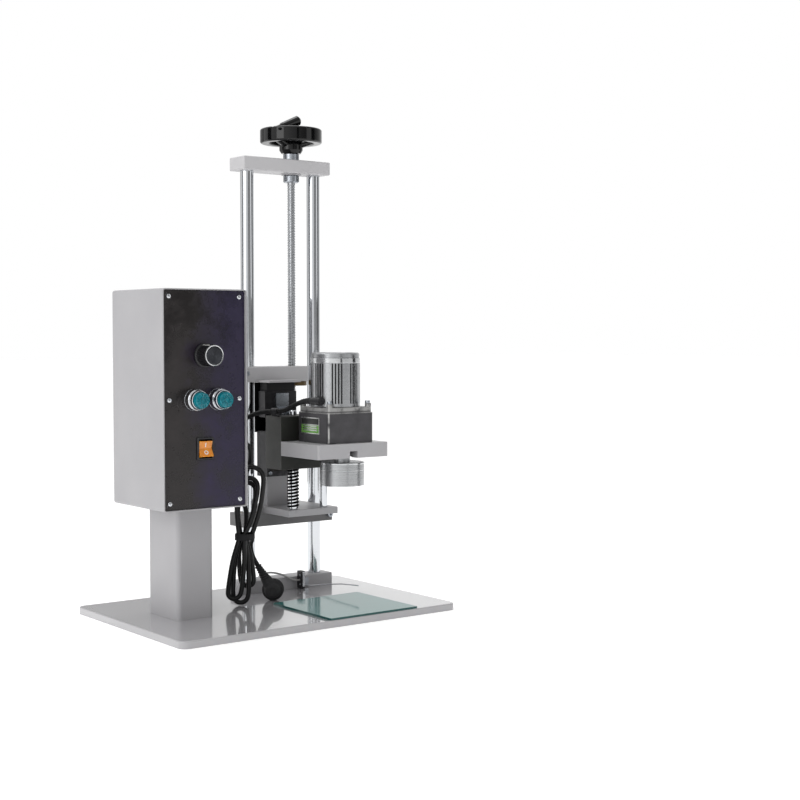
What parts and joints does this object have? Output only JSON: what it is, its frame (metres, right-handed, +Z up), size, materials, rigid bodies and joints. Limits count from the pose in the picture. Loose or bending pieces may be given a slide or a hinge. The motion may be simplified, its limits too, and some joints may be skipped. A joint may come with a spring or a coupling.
{
  "type": "bottle capping machine",
  "caption": "Bench-top bottle capping machine: control box on a post, motor head with a cap chuck pressed down by a solenoid, height set by a handwheel on two columns.",
  "frame": {"origin": "middle of the base plate's footprint, on its underside", "axes": "+X to the right seen from the control panel side, +Y to the back, +Z up"},
  "size_m": [0.455, 0.313, 0.7377],
  "materials": {
    "grey_paint": "satin",
    "bright_steel": "polished",
    "zinc_steel": "satin",
    "spring_steel": "satin",
    "fixings": "satin",
    "bronze": "satin",
    "panel_face": "matte",
    "gearbox_casting": "satin",
    "turned_aluminium": "satin",
    "iron_core": "matte",
    "winding": "matte",
    "black_plastic": "satin",
    "black_knob": "satin",
    "chrome_bezel": "polished",
    "clear_lens": "gloss",
    "orange_rocker": "gloss",
    "board": "matte",
    "rubber_pads": "matte",
    "tinted_pad": "gloss",
    "cord_black": "matte"
  },
  "bodies": {
    "stand": {"base_plate": "grey_paint", "box_post": "grey_paint", "control_box": "grey_paint", "front_panel": "panel_face", "panel_screws": "fixings", "potentiometer": "black_plastic", "button_housings": "chrome_bezel", "rocker_housing": "black_plastic", "control_board": "board", "box_glands": "black_plastic", "column_block": "grey_paint", "guide_columns": "bright_steel", "top_plate": "grey_paint", "screw_bearing": "bronze", "micro_switch": "black_plastic", "switch_bracket": "zinc_steel", "bottle_pad": "tinted_pad", "mains_cord": "cord_black", "mains_hank": "cord_black", "plug_cord": "cord_black", "mains_plug": "cord_black", "motor_lead_slack": "cord_black", "switch_lead": "cord_black"},
    "wheel_and_screw": {"handwheel": "black_plastic", "lead_screw": "bright_steel", "screw_collars": "bright_steel", "handle_pin": "bright_steel"},
    "folding_grip": {"fold_handle": "black_plastic"},
    "lift": {"nut_plate": "grey_paint", "nut_sheet": "zinc_steel", "screw_nut": "bronze", "column_bushes": "bronze", "lift_web": "zinc_steel", "clamp_plate": "grey_paint", "clamp_screws": "fixings", "guide_plate": "grey_paint", "guide_rods": "bright_steel", "solenoid_frame": "iron_core", "solenoid_coil": "winding", "rubber_stop": "rubber_pads", "return_spring": "spring_steel"},
    "head": {"carriage": "grey_paint", "guide_bushes": "bronze", "head_plate": "grey_paint", "gearbox_case": "gearbox_casting", "motor_body": "turned_aluminium", "motor_cap": "turned_aluminium", "motor_gland": "black_plastic", "armature": "iron_core", "link_bracket": "zinc_steel", "lead_clip": "black_plastic", "motor_lead_head": "cord_black"},
    "chuck": {"output_shaft": "bright_steel", "capping_cup": "turned_aluminium", "cone_insert": "rubber_pads"},
    "knob": {"speed_knob": "black_knob"},
    "button_left": {"push_button_left": "clear_lens"},
    "button_right": {"push_button_right": "clear_lens"},
    "rocker": {"rocker_paddle": "orange_rocker"},
    "bottle_lever": {"feeler": "spring_steel"}
  },
  "joints": [
    {"name": "wheel_turn", "type": "hinge", "parent": "stand", "child": "wheel_and_screw", "pos_m": [0.112, 0.106, 0.7], "axis": [0, 0, 1], "range_deg": [-24310, 6490]},
    {"name": "handle_fold", "type": "hinge", "parent": "wheel_and_screw", "child": "folding_grip", "pos_m": [0.07394, 0.09215, 0.7132], "axis": [0, -1, 0], "range_deg": [-22, 67]},
    {"name": "lift_slide", "type": "slide", "parent": "stand", "child": "lift", "axis": [0, 0, 1], "range_m": [-0.072, 0.27]},
    {"name": "head_press", "type": "slide", "parent": "lift", "child": "head", "axis": [0, 0, 1], "range_m": [-0.02, 0], "stiffness_N_per_m": 4000, "springref_m": 0.03, "deforming": ["return_spring"]},
    {"name": "chuck_spin", "type": "hinge", "parent": "head", "child": "chuck", "pos_m": [0.0925, -0.0575, 0.2], "axis": [0, 0, 1], "continuous": true},
    {"name": "knob_turn", "type": "hinge", "parent": "stand", "child": "knob", "pos_m": [-0.1365, -0.0585, 0.375], "axis": [0, 1, 0], "range_deg": [-150, 150]},
    {"name": "press_left", "type": "slide", "parent": "stand", "child": "button_left", "axis": [0, 1, 0], "range_m": [0, 0.003], "stiffness_N_per_m": 300, "springref_m": -0.003},
    {"name": "press_right", "type": "slide", "parent": "stand", "child": "button_right", "axis": [0, 1, 0], "range_m": [0, 0.003], "stiffness_N_per_m": 300, "springref_m": -0.003},
    {"name": "rocker_tip", "type": "hinge", "parent": "stand", "child": "rocker", "pos_m": [-0.1365, -0.0555, 0.248], "axis": [1, 0, 0], "range_deg": [0, 14]},
    {"name": "lever_press", "type": "hinge", "parent": "stand", "child": "bottle_lever", "pos_m": [0.1135, 0.0766, 0.0355], "axis": [1, 0, 0], "range_deg": [0, 3.5], "stiffness_Nm_per_rad": 0.05, "springref_deg": -5.73}
  ],
  "couplings": [
    {"joint": "wheel_turn", "follows": "lift_slide", "rad_per_m": -1570.8}
  ]
}
